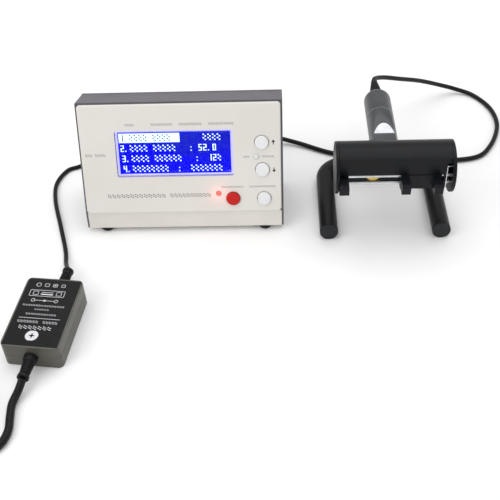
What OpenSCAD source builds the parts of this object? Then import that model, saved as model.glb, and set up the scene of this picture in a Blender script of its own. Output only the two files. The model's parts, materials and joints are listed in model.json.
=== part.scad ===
// Timegrapher: a sloping display console, its mains adapter, and a microphone
// on a tube stand whose head grips a watch. Everything stands on one table top.

/* [Console case] */
// Width over the cover's two side plates
body_w = 158; // [150:1:200]
// Length of the front panel down its slope
panel_h = 88; // [84:1:110]
// Lean of the front panel back from upright, in degrees
panel_lean = 19.5; // [14:0.5:24]
// Depth of the sloping top, from its front edge to its back edge
top_d = 28; // [24:1:60]
// Height of the band under the front panel
band_h = 14; // [12:1:24]
// Lean of the band back from upright, in degrees
band_lean = 9; // [0:1:15]
// Thickness of the folded cover
cover_t = 1.5; // [1:0.1:2.5]
// Thickness of the front panel behind the cover's front edge
panel_in = 3; // [2.5:0.5:4]
// How far the front panel stands proud of the cover's front edge
panel_out = 2; // [1:0.5:3]
// Thickness of the base pan and rear plate
pan_t = 2.5; // [2:0.1:4]
// Height of the feet
foot_h = 4; // [3:0.5:8]
// Diameter of a foot where it meets the pan
foot_d = 12; // [9:0.5:16]

/* [Display] */
// Width of the clear window
window_w = 91; // [80:1:96]
// Height of the clear window
window_h = 37; // [34:1:43]
// Window centre, to the right of the panel's centre line
window_x = -4.8; // [-6:0.1:-4]
// Window centre, up the slope from the panel's lower edge
window_v = 48.8; // [48:0.1:52]
// Thickness of the clear window
window_t = 2; // [1.5:0.1:2.4]
// Overlap of the display module's frame around the window
frame_edge = 4.5; // [4:0.5:5]
// Depth of the display module behind the panel
module_d = 4; // [3:0.5:5]

/* [Buttons] */
// Diameter of a button's cap
cap_d = 10.6; // [8:0.1:11.5]
// Gap all round a button in its hole
cap_gap = 0.4; // [0.3:0.05:0.6]
// How far a cap stands out of the panel's face
cap_out = 2; // [1:0.1:3]
// Travel of a button
press = 0.8; // [0.4:0.1:0.9]
// Diameter of an indicator lamp
led_d = 4.6; // [3:0.1:5]

/* [Adapter] */
// Length of the adapter
adapter_l = 66; // [60:1:90]
// Width of the adapter
adapter_w = 42; // [34:1:50]
// Height of the adapter
adapter_h = 20; // [20:0.5:34]
// Wall of the adapter's two shells
adapter_t = 2; // [1.5:0.1:3]
// Length of each strain relief outside the adapter
relief_l = 19; // [14:1:26]

/* [Microphone] */
// Diameter of the microphone barrel
barrel_d = 22; // [20:0.5:24]
// Length of the barrel from the holder to the start of its rounded tail
barrel_l = 67; // [66:1:90]
// Wall of the barrel's tube
barrel_t = 2; // [1.5:0.1:3]
// Width of the flat milled on the barrel's top
flat_w = 16; // [12:0.5:17]
// Length of the ribbed strain relief on the barrel's tail
tail_l = 25; // [18:1:32]
// Diameter of the swivel spindle
spindle_d = 8; // [7:0.5:10]
// Running clearance on the spindle's radius
spindle_gap = 0.05; // [0.02:0.01:0.1]

/* [Watch holder] */
// Diameter of the holder's round back
head_d = 40; // [38:0.5:41]
// Length of the holder over both end discs
head_l = 88.8; // [88:0.1:96]
// Thickness of the end discs
disc_t = 2.6; // [2:0.1:4]
// Distance from the holder's axis to its flat front
flat_off = 12; // [11:0.5:14]
// How far the jaws reach out in front of the flat
jaw_out = 12; // [8:0.5:14]
// Opening between the two jaws at rest
jaw_open = 39.2; // [26:0.1:41]
// Diameter of the two guide rods
rod_d = 3; // [2.5:0.1:3.5]
// Running clearance on the rods' radius
rod_gap = 0.05; // [0.02:0.01:0.1]

/* [Stand] */
// Diameter of the bent stand tube
tube_d = 14.4; // [12:0.1:16]
// Wall of the stand tube
tube_t = 1.5; // [1:0.1:2]
// Distance between the centres of the two legs
leg_gap = 88; // [84:1:110]
// Length of a leg from its tip to the crossbar's centre line
leg_l = 86; // [80:1:110]
// Bend radius of the tube's centre line
bend_r = 18; // [15:1:24]
// Height of the barrel's axis above the table
axis_z = 58; // [57:1:70]

/* [Hidden] */
$fn = 48;
over = 1;

// Where each unit stands, from the middle of the console's lower front edge
adapter_pos = [-92.7, -106.3];
adapter_turn = -6.5;
mic_x = 158.5;
holder_shift = 4.2;
holder_y = 4.5;
leg_tip_y = -13.4;

// Console profile, in the plane across its width: [y, z]
low_front = [0, foot_h];
seam = low_front + band_h * [sin(band_lean), cos(band_lean)];
rise = [sin(panel_lean), cos(panel_lean)];
fall = [cos(panel_lean), -sin(panel_lean)];
top_front = seam + (panel_h + cover_t) * rise;
top_back = top_front + top_d * fall;
back_y = top_back[0] + 2;
rear_face = back_y - pan_t;
pan_top = foot_h + pan_t;
inner_w = body_w - 2 * cover_t;
seam_gap = 0.4;

// Places on the front panel: right of its centre line, up from its lower edge
column = inner_w / 2 - 14.6;
up_at = [column - 0.2, window_v + 8];
down_at = [column + 0.1, window_v - 13.8];
menu_at = [column + 1, 11.2];
start_at = [column - 23.3, 11.4];
run_led_at = [column - 34.6, 15.8];
signal_led_at = [column - 4.4, window_v - 3.3];
buttons = [up_at, down_at, menu_at, start_at];
post_d = 6;
post_hole_d = 2.2;
lcd_posts = [for (x = [-1, 1], y = [-1, 1]) [
    window_x + x * (window_w / 2 + frame_edge + post_d / 2 + 0.4),
    window_v + y * (window_h / 2 + frame_edge - post_d / 2)
]];
key_posts = [[column + 10, window_v + 15], [column - 12.6, 7], [column - 41, 7]];
flange_d = cap_d + 2.4;
flange_t = 1;
flange_gap = 0.2;
stem_d = 3.6;
stem_l = 2.4;
stem_in = 1.4;
stem_gap = 0.1;
switch_w = 6;
switch_h = 3.4;
board_t = 1.6;
key_z = -panel_in - flange_gap - flange_t - stem_l - switch_h + stem_in;
led_out = 0.6;

// Inside the console
deck_z = pan_top + 5.5;
deck_w = inner_w - 60;
deck_d = back_y - 24;
deck_x = inner_w / 2 - 6 - deck_w / 2;
deck_y = 10 + deck_d / 2;
deck_hole_d = 3;
tab_w = 12;
tab_d = 12;
speaker_d = 30;
speaker_h = 8;
speaker_at = [-inner_w / 2 + tab_w + speaker_d / 2 + 1, back_y - 32];
screw_d = 2.6;
screw_head_d = 5.6;
screw_head_h = 1.6;

// Rear connectors
jack_z = pan_top + 13.5;
dc_jack_x = -inner_w / 2 + 15.5;
mic_jack_x = inner_w / 2 - 19.5;
jack_l = 14;
dc_bore_d = 5.6;
dc_pin_d = 5.5;
mic_bore_d = 3.6;
mic_pin_d = 3.5;
pin_l = 10;
bush_d = 9;
bush_out = 3;
nut_w = 12;
nut_t = 2;
dc_plug_d = 9;
dc_plug_l = 22;
mic_plug_d = 11;
mic_plug_l = 30;
dc_lead_d = 3.5;
mic_lead_d = 4;
mains_lead_d = 5.6;

// Adapter
adapter_r = 4;
adapter_seam = adapter_h / 2;
relief_z = adapter_seam;
neck_d = 7;

// Microphone and holder
holder_x = mic_x + holder_shift;
holder_left = holder_x - head_l / 2;
holder_right = holder_x + head_l / 2;
holder_r = head_d / 2;
clip_gap = 3.4;
body_left = holder_left + disc_t;
holder_end = holder_right - disc_t;
body_right = holder_end - clip_gap;
notch_top = 11;
fixed_jaw_w = 7.2;
cheek_t = 1.5;
channel_left = body_left + fixed_jaw_w;
channel_right = body_right - cheek_t;
channel_back = -4;
channel_top = 1;
body_low = -0.6 * holder_r;
jaw_x = channel_left + jaw_open;
jaw_w = 30.5;
prong_w = 6.5;
jaw_zs = [-10, -1];
slide_gap = 0.3;
rod_y = (channel_back - flat_off) / 2;
rod_zs = [-9, -2.4];
rod_in = disc_t - 1;
spring_t = 0.8;
sensor_d = 12;
sensor_t = 1;
barrel_gap = 0.6;
barrel_y = holder_y + holder_r + barrel_gap;
barrel_r = barrel_d / 2;
bush_l = 24;
flat_l = 12;
ramp_l = 9;
groove_at = 43;
groove_w = 1;
spigot_l = 8;
spigot_t = 1.5;
bore_r = barrel_r - barrel_t - spigot_t;
shoulder_l = 6;
shoulder_r = 6.5;
tail_hole_d = 8;
spindle_root = 8;
collar_d = 14;
collar_t = 2;
collar_gap = 0.2;
tail_y = barrel_y + barrel_l + shoulder_l;

// Stand
leg_x = leg_gap / 2;
bar_y = leg_tip_y + leg_l;
tube_r = tube_d / 2;
cap_t = 2;
cap_in = 8;
stem_post_d = 14;
post_screw_d = 4;
post_head_d = 7;
post_head_h = 2.8;
post_bore_r = bar_y - barrel_y > groove_at - spigot_l ? bore_r : barrel_r - barrel_t;

// The part's origin: middle of the footprint of all but the leads
relief_r = 5;
relief_end_r = 4.2;
footprint_left = adapter_pos[0] - (adapter_l / 2 - adapter_r) * abs(sin(adapter_turn))
    - (adapter_w / 2 - adapter_r) * cos(adapter_turn) - adapter_r;
footprint_front = adapter_pos[1] - (adapter_l / 2 + relief_l) * cos(adapter_turn)
    - relief_end_r * abs(sin(adapter_turn));
footprint_back = tail_y + tail_l;
footprint_right = max(holder_right, mic_x + leg_x + tube_r);
origin = [(footprint_left + footprint_right) / 2, (footprint_front + footprint_back) / 2, 0];

// Ends of the leads, which their fittings set
function adapter_point(x, y) = [
    adapter_pos[0] + x * cos(adapter_turn) - y * sin(adapter_turn),
    adapter_pos[1] + x * sin(adapter_turn) + y * cos(adapter_turn), relief_z
];
dc_relief_x = 2;
relief_tip_y = adapter_l / 2 + relief_l;
dc_plug_end = [dc_jack_x, back_y + dc_plug_l, jack_z] - origin;
dc_relief_end = adapter_point(dc_relief_x, relief_tip_y) - origin;
mic_plug_end = [mic_jack_x, back_y + bush_out + mic_plug_l, jack_z] - origin;
tail_end = [mic_x, footprint_back, axis_z] - origin;
mains_relief_end = adapter_point(0, -relief_tip_y) - origin;

// Routes of the leads between those ends, from the part's origin
dc_route = [
    dc_plug_end, [-109.3, 106.5, 18], [-116.3, 112.5, 10], [-129.3, 111, 3], [-146.3, 102, 1.8],
    [-156.3, 96, 1.8], [-162.3, 78, 1.8], [-159.3, 55, 1.8], [-149.3, 23, 1.8], [-140.3, -6, 1.8],
    [-136.3, -24, 4.5], dc_relief_end
];
mic_route = [
    tail_end, [113.7, 147, 57], [122.7, 158, 51], [138.7, 171, 41], [160.7, 189, 27], [182.7, 203, 13],
    [198.7, 208, 5], [214.7, 201, 2.1], [226.7, 178, 2.1], [227.7, 150, 2.1], [215.7, 120, 2.1],
    [198.7, 104, 2.1], [160.7, 101, 2.1], [120.7, 104, 2.1], [92.7, 109, 2.1], [70.7, 117, 2.1],
    [48.7, 128, 3], [30.7, 132.5, 6], [16.7, 128.5, 13], [11.7, 121, 19], mic_plug_end
];
mains_route = [
    mains_relief_end, [-147.3, -147, 6], [-150.3, -156, 3], [-149.3, -167, 2.9], [-148.3, -178, 2.9],
    [-152.3, -189, 2.9], [-165.3, -197, 2.9], [-179.3, -202, 2.9], [-192.3, -202, 4]
];
coil_at = [-209.3, -165];
coil_r = 33;
coil_w = 17;
coil_h = 11.4;
tie_t = 0.5;
tie_gap = 0.1;
tie_w = 2.6;
plug_w = 35;
plug_h = 13.7;
plug_l = 32;
plug_nose = 6;
plug_at = [-245.3, -112];
prong_d = 4;
prong_l = 19;
prong_gap = 18.6;
plug_end = [plug_at[0], plug_at[1], plug_h / 2];
tail_route = [[-248.3, -163, 8.5], [-251.3, -152, 7.5], [-253.3, -141, 4.5], [-250.3, -127, 4.5], plug_end];

function across(a, b) = [
    a[1] * b[2] - a[2] * b[1],
    a[2] * b[0] - a[0] * b[2],
    a[0] * b[1] - a[1] * b[0]
];
function unit(a) = a / norm(a);
// Point between b and c on the smooth curve through a, b, c and d
function smooth(a, b, c, d, t) = 0.5 * (2 * b + (c - a) * t
    + (2 * a - 5 * b + 4 * c - d) * t * t + (3 * b - a - 3 * c + d) * t * t * t);
function stop_at(route, i) = route[min(max(i, 0), len(route) - 1)];
function curve(route, steps) = [
    for (i = [0 : len(route) - 2], s = [0 : steps - 1])
        smooth(stop_at(route, i - 1), route[i], route[i + 1], stop_at(route, i + 2), s / steps),
    route[len(route) - 1]
];
function heading(line, i) = unit(line[min(i + 1, len(line) - 1)] - line[max(i - 1, 0)]);

// Solid swept along a route, with a ring of sides at each point of its curve
module lead(route, d, steps, sides = 8) {
    line = curve(route, steps);
    last = (len(line) - 1) * sides;
    points = [
        for (i = [0 : len(line) - 1])
            let (t = heading(line, i), u = unit(across(t, [0, 0, 1])), w = across(u, t))
            for (k = [0 : sides - 1])
                line[i] + d / 2 * (cos(360 * k / sides) * u + sin(360 * k / sides) * w)
    ];
    walls = [
        for (i = [0 : len(line) - 2], k = [0 : sides - 1])
            let (a = i * sides + k, b = i * sides + (k + 1) % sides)
            [a, b, b + sides, a + sides]
    ];
    start_face = [for (k = [sides - 1 : -1 : 0]) k];
    end_face = [for (k = [0 : sides - 1]) last + k];
    polyhedron(points = points, faces = concat(walls, [start_face, end_face]), convexity = 6);
}

// Moves what is drawn from the console's corner to the part's origin
module placed() {
    translate(-origin) children();
}

module round_outline(w, h, r) {
    square([w - 2 * r, h], center = true);
    square([w, h - 2 * r], center = true);
    for (x = [-1, 1], y = [-1, 1]) translate([x * (w / 2 - r), y * (h / 2 - r)]) circle(r);
}

// Plate with round corners, centred, t thick upwards
module round_plate(w, h, t, r) {
    linear_extrude(t) round_outline(w, h, r);
}

// Cylinder along X or Y from a point
module along_x(d, l) {
    rotate([0, 90, 0]) cylinder(d = d, h = l);
}

module along_y(d, l) {
    rotate([-90, 0, 0]) cylinder(d = d, h = l);
}

// Extrudes a [y, z] outline across a width centred on x = 0
module profile(w, outline) {
    rotate([90, 0, 90]) translate([0, 0, -w / 2]) linear_extrude(w) polygon(outline);
}

// Local frame on the front panel: Z points out of it, 0 is the cover's front edge
module on_panel(at, z = 0) {
    placed() translate([0, seam[0], seam[1]]) rotate([90 - panel_lean, 0, 0])
        translate([at[0], at[1], z]) children();
}

// Console case

function top_z(y, depth) = top_front[1] - (y - top_front[0]) * tan(panel_lean) - depth / cos(panel_lean);
bottom_tabs = [for (x = [-1, 1], y = [22, back_y - 18]) [x * (inner_w / 2 - tab_w / 2), y]];
rear_tabs = [for (x = [-1, 1], z = [jack_z + 14, jack_z + 50]) [x * (inner_w / 2 - tab_w / 2), z]];

module base_pan() {
    color("#DDD8D0") placed() difference() {
        profile(inner_w, [
            low_front, [rear_face, foot_h], [rear_face, pan_top], [pan_t + 0.5, pan_top],
            seam + pan_t * fall, seam
        ]);
        for (at = bottom_tabs) translate([at[0], at[1], foot_h - over])
            cylinder(d = screw_d, h = pan_t + 2 * over);
        for (at = deck_holes()) translate([at[0], at[1], foot_h - over])
            cylinder(d = deck_hole_d, h = pan_t + 2 * over);
    }
}

module front_panel() {
    color("#E9E6E0") difference() {
        union() {
            on_panel([0, (panel_h + seam_gap) / 2], -panel_in)
                round_plate(inner_w, panel_h - seam_gap, panel_in + panel_out, 2.5);
            for (at = lcd_posts) on_panel(at, -panel_in - module_d) cylinder(d = post_d, h = module_d + over);
            for (at = key_posts) on_panel(at, key_z) cylinder(d = post_d, h = -key_z - panel_in + over);
        }
        on_panel([window_x, window_v], -panel_in - over)
            round_plate(window_w, window_h, panel_in + panel_out + 2 * over, 1.5);
        for (at = buttons) on_panel(at, -panel_in - over)
            cylinder(d = cap_d + 2 * cap_gap, h = panel_in + panel_out + 2 * over);
        for (at = [run_led_at, signal_led_at]) on_panel(at, -panel_in - over)
            cylinder(d = led_d, h = panel_in + panel_out + 2 * over);
        for (at = concat(lcd_posts, key_posts)) on_panel(at, key_z - over)
            cylinder(d = post_hole_d, h = -key_z + over - 1);
    }
}

module top_cover() {
    far = 40;
    color("#6E6B70") placed() difference() {
        union() {
            difference() {
                profile(body_w, [
                    low_front, [back_y, foot_h], [back_y, top_back[1]], top_back, top_front, seam
                ]);
                profile(inner_w, [
                    [-far, -far], [back_y + far, -far], [back_y + far, top_z(back_y + far, cover_t)],
                    [-far, top_z(-far, cover_t)]
                ]);
            }
            for (at = bottom_tabs) translate([at[0] - tab_w / 2, at[1] - tab_d / 2, pan_top])
                cube([tab_w, tab_d, cover_t]);
            for (at = rear_tabs) translate([at[0] - tab_w / 2, rear_face - cover_t, at[1] - tab_d / 2])
                cube([tab_w, cover_t, tab_d]);
        }
        for (at = bottom_tabs) translate([at[0], at[1], pan_top - over])
            cylinder(d = screw_d, h = cover_t + 2 * over);
        for (at = rear_tabs) translate([at[0], rear_face - cover_t - over, at[1]])
            along_y(screw_d, cover_t + 2 * over);
    }
}

module rear_plate() {
    color("#4A484C") placed() difference() {
        profile(inner_w, [
            [rear_face, foot_h], [back_y, foot_h], [back_y, top_z(back_y, cover_t)],
            [rear_face, top_z(rear_face, cover_t)]
        ]);
        for (at = rear_tabs) translate([at[0], rear_face - over, at[1]]) along_y(screw_d, pan_t + 2 * over);
        translate([dc_jack_x, rear_face - over, jack_z]) along_y(bush_d, pan_t + 2 * over);
        translate([mic_jack_x, rear_face - over, jack_z]) along_y(bush_d, pan_t + 2 * over);
    }
}

module cover_screws() {
    color("#2A2A2C") placed() {
        for (at = bottom_tabs) translate([at[0], at[1], foot_h - screw_head_h]) {
            cylinder(d = screw_head_d, h = screw_head_h);
            cylinder(d = screw_d, h = screw_head_h + pan_t + cover_t);
        }
        for (at = rear_tabs) translate([at[0], rear_face - cover_t, at[1]]) {
            along_y(screw_d, cover_t + pan_t + screw_head_h);
            translate([0, cover_t + pan_t, 0]) along_y(screw_head_d, screw_head_h);
        }
    }
}

module console_feet() {
    color("#151515") placed() for (x = [-1, 1], y = [foot_d / 2 - 1, back_y - foot_d / 2 - 2])
        translate([x * (inner_w / 2 - 13.5), y, 0]) cylinder(d1 = foot_d - 3, d2 = foot_d, h = foot_h);
}

// Display

module lcd_window() {
    color("#DDE0F5", 0.5) on_panel([window_x, window_v], 1 - window_t)
        round_plate(window_w, window_h, window_t, 1.5);
}

module lcd_frame() {
    color("#2B2B30") on_panel([window_x, window_v], -panel_in - module_d) linear_extrude(module_d)
        difference() {
        square([window_w + 2 * frame_edge, window_h + 2 * frame_edge], center = true);
        square([window_w - 4, window_h - 4], center = true);
    }
}

module lcd_glass() {
    color("#1414E6") on_panel([window_x, window_v], -panel_in - module_d)
        linear_extrude(panel_in + module_d + 1 - window_t)
            square([window_w - 4, window_h - 4], center = true);
}

module lcd_board() {
    color("#1F6B3A") on_panel([window_x, window_v], -panel_in - module_d - board_t) difference() {
        linear_extrude(board_t) square([
            window_w + 2 * frame_edge + 2 * post_d + 1, window_h + 2 * frame_edge + 1], center = true);
        for (at = lcd_posts) translate([at[0] - window_x, at[1] - window_v, -over])
            cylinder(d = post_hole_d, h = board_t + 2 * over);
    }
}

module panel_screw(at, z) {
    on_panel(at, z) {
        translate([0, 0, -board_t - screw_head_h]) cylinder(d = 4.4, h = screw_head_h);
        translate([0, 0, -board_t]) cylinder(d = post_hole_d, h = board_t + 3);
    }
}

module panel_screws() {
    color("#C8C8CC") {
        for (at = lcd_posts) panel_screw(at, -panel_in - module_d);
        for (at = key_posts) panel_screw(at, key_z);
    }
}

// Buttons, their switches and the lamps

module button(at, tint) {
    color(tint) on_panel(at) {
        translate([0, 0, -panel_in - flange_gap])
            cylinder(d = cap_d, h = panel_in + flange_gap + panel_out + cap_out);
        translate([0, 0, -panel_in - flange_gap - flange_t]) cylinder(d = flange_d, h = flange_t);
        translate([0, 0, -panel_in - flange_gap - flange_t - stem_l]) cylinder(d = stem_d, h = stem_l + 0.5);
    }
}

module button_up() {
    button(up_at, "#EEEEF0");
}

module button_down() {
    button(down_at, "#EEEEF0");
}

module button_menu() {
    button(menu_at, "#EEEEF0");
}

module button_start() {
    button(start_at, "#C8201A");
}

module key_board() {
    right = inner_w / 2 - 2.5;
    column_left = column - 7.4;
    row_left = column - 45;
    row_top = window_v - window_h / 2 - frame_edge - 3.5;
    column_top = window_v + 19;
    color("#1F6B3A") difference() {
        on_panel([0, 0], key_z - board_t) linear_extrude(board_t) polygon([
            [row_left, 3], [right, 3], [right, column_top], [column_left, column_top],
            [column_left, row_top], [row_left, row_top]
        ]);
        for (at = key_posts) on_panel(at, key_z - board_t - over)
            cylinder(d = post_hole_d, h = board_t + 2 * over);
    }
}

module key_switches() {
    color("#B8B8BC") for (at = buttons) on_panel(at, key_z) difference() {
        translate([-switch_w / 2, -switch_w / 2, 0]) cube([switch_w, switch_w, switch_h]);
        translate([0, 0, 0.6]) cylinder(d = stem_d + 2 * stem_gap, h = switch_h);
    }
}

module led(at, tint) {
    color(tint) on_panel(at, key_z) cylinder(d = led_d, h = -key_z + panel_out + led_out);
}

module run_led() {
    led(run_led_at, "#FF8A90");
}

module signal_led() {
    led(signal_led_at, "#E8EAE4");
}

// Inside the console

function deck_holes() = [for (x = [-1, 1], y = [-1, 1])
    [deck_x + x * (deck_w / 2 - 16), deck_y + y * (deck_d / 2 - 8)]];

module main_board() {
    color("#1F6B3A") placed() difference() {
        translate([deck_x - deck_w / 2, deck_y - deck_d / 2, deck_z]) cube([deck_w, deck_d, board_t]);
        for (at = deck_holes()) translate([at[0], at[1], deck_z - over])
            cylinder(d = deck_hole_d, h = board_t + 2 * over);
    }
}

module board_chips() {
    color("#1A1A1C") placed() translate([deck_x, deck_y, deck_z + board_t]) {
        translate([-7, -2, 0]) cube([14, 14, 1.6]);
        translate([-24, 0, 0]) cube([10, 5, 1.6]);
        translate([14, 1, 0]) cube([8, 5, 1.6]);
        translate([17, 10, 0]) cylinder(d = 6, h = 9);
        translate([-18, 11, 0]) cylinder(d = 6, h = 9);
    }
}

module board_standoffs() {
    color("#D2B45A") placed() for (at = deck_holes()) translate([at[0], at[1], pan_top]) difference() {
        cylinder(d = 5.5, h = deck_z - pan_top);
        translate([0, 0, -over]) cylinder(d = deck_hole_d, h = deck_z);
    }
}

module board_screws() {
    color("#C8C8CC") placed() for (at = deck_holes()) {
        translate([at[0], at[1], deck_z - 2]) cylinder(d = deck_hole_d, h = board_t + 2);
        translate([at[0], at[1], deck_z + board_t]) cylinder(d = screw_head_d, h = screw_head_h);
        translate([at[0], at[1], foot_h]) cylinder(d = deck_hole_d, h = pan_t + 2.5);
        translate([at[0], at[1], foot_h - screw_head_h]) cylinder(d = screw_head_d, h = screw_head_h);
    }
}

module speaker() {
    color("#2C2C2E") placed() translate([speaker_at[0], speaker_at[1], pan_top]) {
        cylinder(d = speaker_d, h = 3);
        cylinder(d = speaker_d * 0.55, h = speaker_h);
    }
}

module dc_jack() {
    color("#1C1C1E") placed() translate([dc_jack_x, 0, jack_z]) difference() {
        union() {
            translate([-dc_plug_d / 2, rear_face - jack_l, -5.5]) cube([dc_plug_d, jack_l, 11]);
            translate([0, rear_face - over, 0]) along_y(bush_d, pan_t + over);
        }
        translate([0, back_y - pin_l - over, 0]) along_y(dc_bore_d, pin_l + 2 * over);
    }
}

module mic_jack() {
    color("#B9B9BE") placed() translate([mic_jack_x, 0, jack_z]) difference() {
        union() {
            translate([-5.5, rear_face - jack_l, -5.5]) cube([11, jack_l, 11]);
            translate([0, rear_face - over, 0]) along_y(bush_d, pan_t + bush_out + over);
        }
        translate([0, back_y + bush_out - pin_l - over, 0]) along_y(mic_bore_d, pin_l + 2 * over);
    }
}

module mic_jack_nut() {
    color("#C8C8CC") placed() translate([mic_jack_x, back_y, jack_z]) rotate([-90, 0, 0]) difference() {
        cylinder(d = nut_w, h = nut_t, $fn = 6);
        translate([0, 0, -over]) cylinder(d = bush_d, h = nut_t + 2 * over);
    }
}

// Adapter, in a frame turned with it: Y runs along it

module on_adapter(at = [0, 0, 0]) {
    placed() translate([adapter_pos[0], adapter_pos[1], 0]) rotate(adapter_turn) translate(at) children();
}

module adapter_inside() {
    round_plate(
        adapter_w - 2 * adapter_t, adapter_l - 2 * adapter_t, adapter_h - 2 * adapter_t, adapter_r - 1
    );
}

module relief_holes() {
    translate([dc_relief_x, adapter_l / 2 - adapter_t - over, relief_z])
        along_y(neck_d, adapter_t + 2 * over);
    translate([0, -adapter_l / 2 - over, relief_z]) along_y(neck_d, adapter_t + 2 * over);
}

module adapter_bottom() {
    color("#55544C") on_adapter() difference() {
        union() {
            difference() {
                round_plate(adapter_w, adapter_l, adapter_seam, adapter_r);
                translate([0, 0, adapter_t]) adapter_inside();
            }
            for (x = [-1, 1], y = [-1, 1]) translate([x * (adapter_w / 2 - 8), y * (adapter_l / 2 - 13), 1])
                cylinder(d = 4, h = adapter_t + 1);
        }
        relief_holes();
    }
}

module adapter_top() {
    color("#141416") on_adapter() difference() {
        translate([0, 0, adapter_seam])
            round_plate(adapter_w, adapter_l, adapter_h - adapter_seam, adapter_r);
        translate([0, 0, adapter_t]) adapter_inside();
        relief_holes();
    }
}

module adapter_board() {
    color("#B08A4A") on_adapter([-adapter_w / 2 + 4, -adapter_l / 2 + 8, adapter_t + 2])
        cube([adapter_w - 8, adapter_l - 16, board_t]);
}

module adapter_transformer() {
    color("#D8C24A") on_adapter([-11, -12, adapter_t + 2 + board_t])
        cube([22, 20, adapter_h - 2 * adapter_t - 2 - board_t - 1.5]);
}

// Strain relief along +Y from the adapter's end wall
module relief() {
    translate([0, -adapter_t - 1.5, 0]) along_y(10, 1.5);
    translate([0, -adapter_t, 0]) along_y(neck_d, adapter_t + 1);
    along_y(2 * relief_r, 5);
    rotate([-90, 0, 0]) cylinder(d1 = 8, d2 = 6.6, h = relief_l);
    for (y = [6.5 : 2.2 : relief_l - 4]) translate([0, y, 0]) along_y(8, 1.1);
    translate([0, relief_l - 2.4, 0]) along_y(2 * relief_end_r, 2.4);
}

module dc_relief() {
    color("#101012") on_adapter([dc_relief_x, adapter_l / 2, relief_z]) relief();
}

module mains_relief() {
    color("#101012") on_adapter([0, -adapter_l / 2, relief_z]) rotate(180) relief();
}

// Plugs and leads

module dc_plug() {
    color("#101012") placed() translate([dc_jack_x, back_y, jack_z]) {
        translate([0, -pin_l + 1, 0]) along_y(dc_pin_d, pin_l);
        along_y(dc_plug_d, 12);
        rotate([-90, 0, 0]) cylinder(d1 = 7.6, d2 = 5, h = dc_plug_l);
    }
}

module dc_lead() {
    color("#0E0E10") lead(dc_route, dc_lead_d, 3);
}

module mic_plug() {
    color("#101012") placed() translate([mic_jack_x, back_y + bush_out, jack_z]) {
        translate([0, -pin_l + 1, 0]) along_y(mic_pin_d, pin_l);
        along_y(mic_plug_d, 20);
        rotate([-90, 0, 0]) cylinder(d1 = 8.6, d2 = 5.6, h = mic_plug_l);
    }
}

module mic_lead() {
    color("#0E0E10") lead(mic_route, mic_lead_d, 2);
}

module mains_lead() {
    color("#0E0E10") lead(mains_route, mains_lead_d, 2);
}

module mains_coil() {
    color("#0E0E10") translate([coil_at[0], coil_at[1], tie_t]) rotate_extrude()
        translate([coil_r - coil_w / 2, 0]) square([coil_w, coil_h]);
}

module cable_tie() {
    color("#1A1A1C") translate([coil_at[0], coil_at[1] + coil_r, 0]) rotate([90, 0, 90])
        translate([0, 0, -tie_w / 2]) linear_extrude(tie_w) difference() {
            translate([-coil_w / 2 - tie_gap - tie_t, 0])
                square([coil_w + 2 * tie_gap + 2 * tie_t, coil_h + 2 * tie_t]);
            translate([-coil_w / 2 - tie_gap, tie_t]) square([coil_w + 2 * tie_gap, coil_h]);
        }
}

module mains_tail() {
    color("#0E0E10") lead(tail_route, mains_lead_d, 2);
}

module mains_plug() {
    color("#101012") translate([plug_at[0], plug_at[1], plug_h / 2]) rotate([-90, 0, 0]) {
        cylinder(d1 = 8, d2 = 12, h = plug_nose + 2);
        translate([0, 0, plug_nose]) round_plate(plug_w * 0.7, plug_h, plug_l - plug_nose, 5);
        translate([0, 0, plug_l - 12]) round_plate(plug_w, plug_h, 12, 5);
    }
}

module plug_pins() {
    color("#B9A36A") translate([plug_at[0], plug_at[1] + plug_l, plug_h / 2])
        for (x = [-1, 1]) translate([x * prong_gap / 2, 0, 0]) along_y(prong_d, prong_l);
}

// Stand

module bent_tube(d) {
    translate([0, 0, tube_r]) {
        for (x = [-1, 1]) translate([x * leg_x, leg_tip_y + cap_t, 0]) along_y(d, leg_l - cap_t - bend_r);
        translate([-leg_x + bend_r, bar_y, 0]) along_x(d, leg_gap - 2 * bend_r);
        translate([leg_x - bend_r, bar_y - bend_r, 0]) rotate_extrude(angle = 90) translate([bend_r, 0])
            circle(d = d);
        translate([-leg_x + bend_r, bar_y - bend_r, 0]) rotate(90) rotate_extrude(angle = 90)
            translate([bend_r, 0]) circle(d = d);
    }
}

module stand_tube() {
    color("#131315") placed() translate([mic_x, 0, 0]) difference() {
        bent_tube(tube_d);
        bent_tube(tube_d - 2 * tube_t);
        translate([0, bar_y, -over]) cylinder(d = post_head_d + 1, h = tube_r + over);
        translate([0, bar_y, tube_r]) cylinder(d = post_screw_d, h = tube_d);
        for (x = [-1, 1]) translate([x * leg_x, leg_tip_y + cap_t - over, tube_r])
            along_y(tube_d - 2 * tube_t, 2 * over);
    }
}

module tube_plugs() {
    color("#3A3A3C") placed() for (x = [-1, 1]) translate([mic_x + x * leg_x, leg_tip_y, tube_r]) {
        along_y(tube_d, cap_t);
        along_y(tube_d - 2 * tube_t, cap_t + cap_in);
    }
}

module stand_post() {
    color("#1A1A1C") placed() translate([mic_x, bar_y, 0]) difference() {
        translate([0, 0, tube_r]) cylinder(d = stem_post_d, h = axis_z - tube_r);
        translate([-stem_post_d, 0, tube_r]) along_x(tube_d, 2 * stem_post_d);
        translate([0, -stem_post_d, axis_z]) along_y(barrel_d, 2 * stem_post_d);
        cylinder(d = post_screw_d, h = axis_z);
    }
}

// Height inside a round tube where a screw head of diameter d meets its wall
function seat(tube_inner_r, d) = sqrt(pow(tube_inner_r, 2) - pow(d / 2, 2));

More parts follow.
